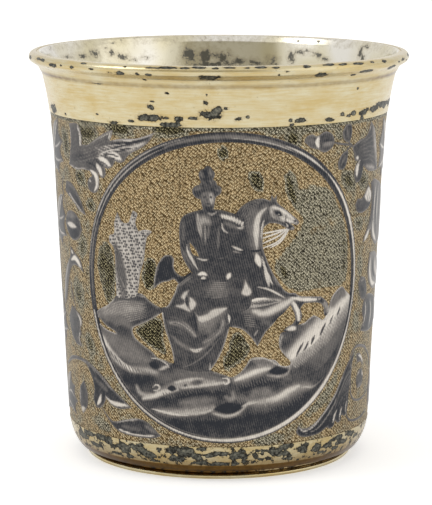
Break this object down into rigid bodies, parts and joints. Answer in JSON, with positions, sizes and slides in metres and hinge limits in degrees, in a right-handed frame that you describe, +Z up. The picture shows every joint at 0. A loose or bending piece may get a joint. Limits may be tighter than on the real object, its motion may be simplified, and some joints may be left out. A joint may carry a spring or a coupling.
{
  "type": "niello silver cup",
  "caption": "Tapered gilt silver beaker with a flared lip moulding, a foot ring, and dark niello figures and leaves let into a punched field between plain bands.",
  "frame": {"origin": "on the table under the upright axis, at the middle of the foot ring's lower face", "axes": "+Z up along the cup's axis, -Y towards the front medallion, +X to the right as seen from the front"},
  "size_m": [0.0758, 0.0758, 0.0815],
  "materials": {
    "gilt_silver": "polished, worn gilding",
    "niello": "satin"
  },
  "bodies": {
    "root": {"beaker_body": "gilt_silver", "lip_ring": "gilt_silver", "foot_ring": "gilt_silver", "back_frame": "niello", "back_hills": "niello", "back_horse_forehand": "niello", "back_horse_haunch": "niello", "back_horse_tail": "niello", "back_left_acanthus": "niello", "back_left_bud": "niello", "back_left_foot_leaf": "niello", "back_left_foot_scroll": "niello", "back_left_inner_leaf": "niello", "back_left_scroll": "niello", "back_left_side_leaf": "niello", "back_left_slanted_leaf": "niello", "back_rider": "niello", "back_right_acanthus": "niello", "back_right_bud": "niello", "back_right_foot_leaf": "niello", "back_right_lower_leaflet": "niello", "back_right_scroll_bud": "niello", "back_right_side_bud": "niello", "back_right_small_leaf": "niello", "back_right_tall_leaf": "niello", "back_right_upper_leaflet": "niello", "back_right_wide_leaf": "niello", "back_robe": "niello", "back_shrub": "niello", "front_frame": "niello", "front_hills": "niello", "front_horse_forehand": "niello", "front_horse_haunch": "niello", "front_horse_tail": "niello", "front_left_acanthus": "niello", "front_left_bud": "niello", "front_left_foot_leaf": "niello", "front_left_foot_scroll": "niello", "front_left_inner_leaf": "niello", "front_left_scroll": "niello", "front_left_side_leaf": "niello", "front_left_slanted_leaf": "niello", "front_rider": "niello", "front_right_acanthus": "niello", "front_right_bud": "niello", "front_right_foot_leaf": "niello", "front_right_lower_leaflet": "niello", "front_right_scroll_bud": "niello", "front_right_side_bud": "niello", "front_right_small_leaf": "niello", "front_right_tall_leaf": "niello", "front_right_upper_leaflet": "niello", "front_right_wide_leaf": "niello", "front_robe": "niello", "front_shrub": "niello", "left_stem": "niello", "right_stem": "niello"}
  },
  "joints": []
}
